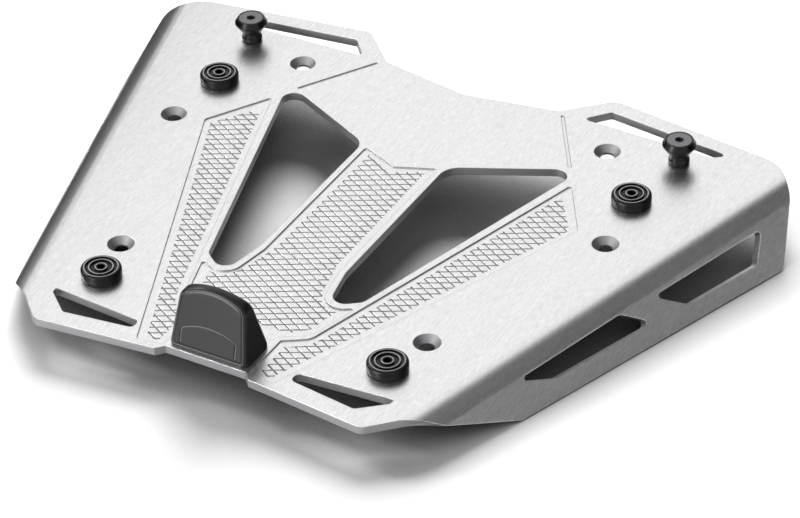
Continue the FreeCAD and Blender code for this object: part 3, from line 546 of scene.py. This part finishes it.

# %% [markdown]
# The striker is moulded from black polyamide. The mould's fine spark-eroded grain makes it dark
# grey where it faces the light, with a soft sheen on the rounded rims. The line round its panel
# and the shoulder of its rim are painted grey, as a painted highlight for the light their edges
# catch. Their faces could be picked one by one for a second material, but both lie at one depth
# below the face. So the distance from the face's own plane finds them.

# %% Moulded black polyamide
GRAIN = 0.5 * MM
STRIKER_EDGE = 0.5 * MM
LINE_DEPTH = 0.4 * MM                  # of the panel's line, below the face
LINE_PLAY = 0.1 * MM
FACE_START = 3.0 * MM                  # height of the foot below the leaning face
FACE_LEAN = 7.9 * MM                   # how far the face leans forward up to its head
striker_low, striker_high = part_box("striker")
face_foot = Vector((0, striker_low.y, striker_low.z + FACE_START))
face_head = Vector((0, striker_low.y + FACE_LEAN, striker_high.z))
face_out = Vector((1, 0, 0)).cross(face_head - face_foot).normalized()


def moulded_polyamide():
    """Grained black with a soft sheen, and with grey lines on the face as a painted highlight."""
    material, tree = new_material("moulded_black_polyamide")
    position = add_node(tree, "ShaderNodeTexCoord").outputs["Object"]
    grain = add_node(tree, "ShaderNodeTexNoise", {
        "Vector": position, "Scale": 1 / GRAIN, "Detail": 2.0})
    specks = add_node(tree, "ShaderNodeMapRange", [grain, *CLOUD_SPREAD])
    tone = add_node(tree, "ShaderNodeMix", {
        "Factor": specks, "A": hex_colour("#141415"), "B": hex_colour("#1C1C1D")},
        data_type="RGBA")
    outward = add_node(tree, "ShaderNodeVectorMath", [position, face_out],
                       operation="DOT_PRODUCT")
    # The grey of the panel's line and the rim's shoulder is a painted highlight.
    painted_highlight_line = add_node(tree, "ShaderNodeMath", [
        outward, face_foot.dot(face_out) - LINE_DEPTH, LINE_PLAY], operation="COMPARE")
    with_painted_highlight = add_node(tree, "ShaderNodeMix", {
        "Factor": painted_highlight_line, "A": tone, "B": hex_colour("#5E5E5F")}, data_type="RGBA")
    soft_edge = add_node(tree, "ShaderNodeBevel", {"Radius": STRIKER_EDGE}, samples=4)
    relief = add_node(tree, "ShaderNodeBump", {
        "Height": grain, "Strength": 0.25, "Distance": 0.04 * MM, "Normal": soft_edge})
    shader = add_node(tree, "ShaderNodeBsdfPrincipled", {
        "Base Color": with_painted_highlight, "Roughness": 0.36, "IOR": 1.53, "Specular IOR Level": 0.35,
        "Normal": relief})
    add_node(tree, "ShaderNodeOutputMaterial", {"Surface": shader})
    return material


dress(moulded_polyamide(), "striker")
print("dressed the striker, whose face points", [round(v, 2) for v in face_out])

# %% [markdown]
# Two of the steps below spread several tones along a ramp: how dark the floor is in the shade,
# and how bright each side of the room is. This helper fills such a ramp from a list.

# %% Ramps with several tones
def set_stops(node, stops):
    """Fills a colour ramp from places between 0 and 1 and their hex values."""
    elements = node.color_ramp.elements
    while len(elements) < len(stops):
        elements.new(1.0)
    for element, (place, code) in zip(elements, stops):
        element.position = place
        element.color = hex_colour(code)


# %% [markdown]
# The plate lies on its flanges, whose lower edges are not quite parallel to the top: the rear
# ends are higher. A real plate would lean on them. The frame keeps the top level instead, so
# the floor is leaned by the same small angle, and the whole lower edge meets it.
#
# Far from the plate the floor runs into the white backdrop. More lamps could whiten it, but they
# would bleach the plate too. So the far floor simply is white for the rays that see it, straight
# or in a mirror, and Light Path tells those rays from the ones that carry light.
#
# Under the plate little of the room is left to light the floor. An Ambient Occlusion node
# measures that, and a ramp deepens the shade there as a contrasty print does.

# %% Floor
FLOOR_LEAN = math.radians(-2.75)
FLOOR_SIZE = 12.0
FLOOR_TOUCH = Vector((0, 111.0, 0)) * MM       # below the flanges' front, where the floor turns
PAPER_FIBRE = 40.0 * MM
SHADE_REACH = 90.0 * MM
FLOOR_SHADES = [(0.06, "#2C2C2C"), (0.22, "#848484"),      # how open the sky is, and the tone
                (0.42, "#B4B4B4"), (0.78, "#FFFFFF")]
PAPER_END = 320.0 * MM
BACKDROP_START = 520.0 * MM
WHITE = (1, 1, 1, 1)


def white_floor():
    """Paper near the plate, which keeps its shadow, and plain white further out."""
    material, tree = new_material("white_paper_floor")
    position = add_node(tree, "ShaderNodeTexCoord").outputs["Object"]
    fibre = add_node(tree, "ShaderNodeTexNoise", {
        "Vector": position, "Scale": 1 / PAPER_FIBRE, "Detail": 2.0})
    tone = add_node(tree, "ShaderNodeMix", {
        "Factor": fibre, "A": hex_colour("#F6F6F6"), "B": hex_colour("#FAFAFA")},
        data_type="RGBA")
    open_sky = add_node(tree, "ShaderNodeAmbientOcclusion", {"Distance": SHADE_REACH},
                        samples=8).outputs["AO"]
    dimmed = add_node(tree, "ShaderNodeValToRGB", [open_sky])
    set_stops(dimmed, FLOOR_SHADES)
    shaded = add_node(tree, "ShaderNodeMix", {"Factor": 1.0, "A": dimmed, "B": tone},
                      data_type="RGBA", blend_type="MULTIPLY")
    paper = add_node(tree, "ShaderNodeBsdfPrincipled", {
        "Base Color": shaded, "Roughness": 0.9, "Specular IOR Level": 0.1})
    white = add_node(tree, "ShaderNodeEmission", {"Color": WHITE, "Strength": 1.0})

    path = add_node(tree, "ShaderNodeLightPath").outputs
    mirrored = add_node(tree, "ShaderNodeMath", [
        path["Is Glossy Ray"], path["Is Transmission Ray"]], operation="MAXIMUM")
    seen = add_node(tree, "ShaderNodeMath", [path["Is Camera Ray"], mirrored],
                    operation="MAXIMUM")
    away = add_node(tree, "ShaderNodeVectorMath", [position], operation="LENGTH")
    beyond = add_node(tree, "ShaderNodeMapRange", [away, PAPER_END, BACKDROP_START])
    far = add_node(tree, "ShaderNodeMath", [seen, beyond], operation="MULTIPLY")
    shader = add_node(tree, "ShaderNodeMixShader", [far, paper, white])
    add_node(tree, "ShaderNodeOutputMaterial", {"Surface": shader})
    return material


bpy.ops.mesh.primitive_plane_add(size=FLOOR_SIZE)
floor = bpy.context.object
floor.name = "floor"
lean = Quaternion((1, 0, 0), FLOOR_LEAN)
for vertex in floor.data.vertices:
    vertex.co = lean @ (vertex.co - FLOOR_TOUCH) + FLOOR_TOUCH
floor.data.materials.append(white_floor())
print("floor leaned by, degrees:", round(math.degrees(FLOOR_LEAN), 2))

# %% [markdown]
# A shiny plate shows its surroundings more than its own colour. In this photograph the top
# mirrors a soft white light behind the plate, while the folds turn away from it and mirror the
# dim room. A panorama of a studio would show that too, but a few tones can be set one by one.
#
# The angle between a direction and the white light sets how bright the world is there: white
# within the light, darkest just beside it, dim further round and pale at the far side of the
# room. The rear of the room is a pale wall that reaches over the plate, so that the metal stays
# light from above and from the front too.
#
# Only mirror rays see all this. The floor and the black parts get an even, weak light from the
# room, and behind everything stands a white backdrop.

# %% World
LIGHT_DIRECTION = Vector((-0.43, 0.70, 0.57)).normalized()
ROOM_TONES = [(0, "#FFFFFF"), (22, "#FFFFFF"), (27, "#E0E0E0"), (34, "#848484"),
              (41, "#3C3C3C"), (55, "#545454"), (73, "#666666"), (90, "#343434"),
              (104, "#444444"), (124, "#B4B4B4")]      # degrees from the light, and the tone
REAR_WALL = (0.08, -0.12)              # Y of a direction where the pale wall starts and is full
OVERHEAD = (0.34, 0.08)                # the same for its part over the plate
OVERHEAD_END = (0.30, 0.62)            # X, left or right, where that part fades, and is gone
PALE_WALL = "#E2E2E2"
MIRRORED_STRENGTH = 1.1
ROOM_LIGHT = 0.05


def studio_world():
    """White to the camera, a room of several tones to mirror rays, and weak even light."""
    world = bpy.data.worlds.new("studio")
    bpy.context.scene.world = world
    world.use_nodes = True
    tree = world.node_tree
    tree.nodes.clear()
    direction = add_node(tree, "ShaderNodeTexCoord").outputs["Generated"]
    nearness = add_node(tree, "ShaderNodeVectorMath", [direction, LIGHT_DIRECTION],
                        operation="DOT_PRODUCT")
    away = add_node(tree, "ShaderNodeMath", [nearness], operation="ARCCOSINE")
    angle = add_node(tree, "ShaderNodeMapRange", [away, 0.0, math.pi])
    tones = add_node(tree, "ShaderNodeValToRGB", [angle])
    set_stops(tones, [(degrees / 180, code) for degrees, code in ROOM_TONES])

    parts = add_node(tree, "ShaderNodeSeparateXYZ", [direction]).outputs
    sideward = add_node(tree, "ShaderNodeMath", [parts["X"]], operation="ABSOLUTE")
    between = add_node(tree, "ShaderNodeMapRange", [sideward, *OVERHEAD_END, 1.0, 0.0])
    above = add_node(tree, "ShaderNodeMapRange", [parts["Y"], *OVERHEAD])
    overhead = add_node(tree, "ShaderNodeMath", [above, between], operation="MULTIPLY")
    behind = add_node(tree, "ShaderNodeMapRange", [parts["Y"], *REAR_WALL])
    pale = add_node(tree, "ShaderNodeMath", [overhead, behind], operation="MAXIMUM")
    room_tone = add_node(tree, "ShaderNodeMix", {
        "Factor": pale, "A": tones, "B": hex_colour(PALE_WALL)}, data_type="RGBA")

    mirrored = add_node(tree, "ShaderNodeBackground", [room_tone, MIRRORED_STRENGTH])
    even = add_node(tree, "ShaderNodeBackground", [WHITE, ROOM_LIGHT])
    backdrop = add_node(tree, "ShaderNodeBackground", [WHITE, 1.0])
    path = add_node(tree, "ShaderNodeLightPath").outputs
    room = add_node(tree, "ShaderNodeMixShader", [path["Is Glossy Ray"], even, mirrored])
    seen = add_node(tree, "ShaderNodeMixShader", [path["Is Camera Ray"], room, backdrop])
    add_node(tree, "ShaderNodeOutputWorld", {"Surface": seen})


studio_world()
print("tones in the mirrored room:", len(ROOM_TONES))

# %% [markdown]
# One wide soft box stands behind the plate and above it. It makes the floor white, and it lets
# the plate's shadow fall towards the camera. A lamp's size sets how soft its shadow is. The
# metal already mirrors the white of the world, so the lamp itself is hidden from mirror rays.

# %% Soft box
def soft_box(name, direction, distance, size, power):
    """A round lamp that stands in one direction and faces the plate. Metres and watts."""
    lamp = bpy.data.lights.new(name, "AREA")
    lamp.shape = "DISK"
    lamp.size = size
    lamp.energy = power
    piece = bpy.data.objects.new(name, lamp)
    bpy.context.scene.collection.objects.link(piece)
    piece.location = direction * distance
    piece.rotation_euler = (-direction).to_track_quat("-Z", "Y").to_euler()
    print("lamp:", name, power, "W")
    return piece


SOFT_BOX_DIRECTION = Vector((-0.33, 0.70, 0.64)).normalized()
key = soft_box("soft_box", SOFT_BOX_DIRECTION, distance=2.2, size=1.6, power=80.0)
key.visible_glossy = False

# %% [markdown]
# The striker turns its face away from that light. A smaller lamp, low at the rear, stands where
# the face mirrors it towards the camera, and shows its satin skin and the line of its panel.
# It also lightens the shade on the floor at the plate's rear edge, as a reflector would.

# %% Low lamp for the striker
FACE_LAMP_DIRECTION = Vector((-0.42, -0.89, 0.25)).normalized()
soft_box("face_lamp", FACE_LAMP_DIRECTION, distance=1.4, size=0.8, power=19.0)

# %% [markdown]
# Black parts only show their shape through highlights. A small lamp high at the left draws fine
# bright lines on the rings, the pins and the striker's rim. Lighter blacks would show the shape
# too, but they would look like dust. The plate mirrors this lamp away from the camera.

# %% Small lamp for highlights
HIGHLIGHT_DIRECTION = Vector((-0.75, 0.05, 0.66)).normalized()
soft_box("highlight_lamp", HIGHLIGHT_DIRECTION, distance=1.5, size=0.3, power=5.0)

# %% [markdown]
# The left fold would mirror nothing but white and melt into the backdrop. Photographers of shiny
# things stand a grey card beside them, out of the picture. A dark patch in the world would sit
# too far away to follow the fold. This card stands along the left fold, with its foot bent in to
# the flange's lower edge, and is higher to the front. Only mirror rays see it, so it casts no
# shadow and no light.

# %% Grey card beside the left fold
CARD_DISTANCE = 205.0 * MM             # from the origin, square to the fold
CARD_FOOT_DISTANCE = 151.0 * MM
CARD_TOP = [(-0.3, 0.06), (-0.1, 0.08),        # metres along the fold, and the height there
            (0.3, 0.13), (0.8, 0.19)]
CARD_FLOOR_GAP = 0.5 * MM


def grey_card():
    """A bent card, in one strip for the upright part and one for the foot."""
    material, tree = new_material("grey_card")
    glow = add_node(tree, "ShaderNodeEmission", {"Color": hex_colour("#303030"), "Strength": 1.0})
    add_node(tree, "ShaderNodeOutputMaterial", {"Surface": glow})
    out = Vector((-fold_outward.x, fold_outward.y, 0))
    along = Vector((-fold_along.x, fold_along.y, 0))
    rows = []
    for place, height in CARD_TOP:
        foot = out * CARD_DISTANCE + along * place
        edge = out * CARD_FOOT_DISTANCE + along * place
        for point in (foot, edge):
            point.z = (FLOOR_TOUCH.y - point.y) * math.tan(-FLOOR_LEAN) + CARD_FLOOR_GAP
        rows.append([foot + Vector((0, 0, height)), foot, edge])
    corners = [point for row in rows for point in row]
    starts = [3 * row + strip for row in range(len(rows) - 1) for strip in (0, 1)]
    faces = [(i, i + 1, i + 4, i + 3) for i in starts]
    mesh = bpy.data.meshes.new("grey_card")
    mesh.from_pydata(corners, [], faces)
    mesh.materials.append(material)
    card = bpy.data.objects.new("grey_card", mesh)
    bpy.context.scene.collection.objects.link(card)
    for ray in ("camera", "diffuse", "shadow", "transmission", "volume_scatter"):
        setattr(card, "visible_" + ray, False)
    print("faces of the grey card:", len(faces))
    return card


grey_card()

# %% [markdown]
# The camera stands where the photographer stood. Its direction, tilt and distance could be tried
# out by eye. They were worked out from the plate instead, which is the same left and right, so
# its shape in the picture gives them. A long lens keeps the far side almost as large as the near
# one.

# %% Camera
AIM = Vector((39.0, -22.6, 30.6)) * MM
AZIMUTH = math.radians(30.98)
ELEVATION = math.radians(36.23)
ROLL = math.radians(2.2)
DISTANCE = 1572.8 * MM
SENSOR_WIDTH = 36.0
LENS = 157.09

backward = Vector((math.sin(AZIMUTH) * math.cos(ELEVATION),
                   -math.cos(AZIMUTH) * math.cos(ELEVATION), math.sin(ELEVATION)))
camera_data = bpy.data.cameras.new("camera")
camera_data.sensor_width = SENSOR_WIDTH
camera_data.lens = LENS
camera_data.clip_end = 50.0
camera = bpy.data.objects.new("camera", camera_data)
bpy.context.scene.collection.objects.link(camera)
camera.location = AIM + backward * DISTANCE
camera.rotation_mode = "QUATERNION"
camera.rotation_quaternion = (-backward).to_track_quat("-Z", "Y") @ Quaternion((0, 0, 1), -ROLL)
bpy.context.scene.camera = camera
bpy.context.scene.view_settings.view_transform = "Standard"
print("camera, mm:", [round(v / MM) for v in camera.location])
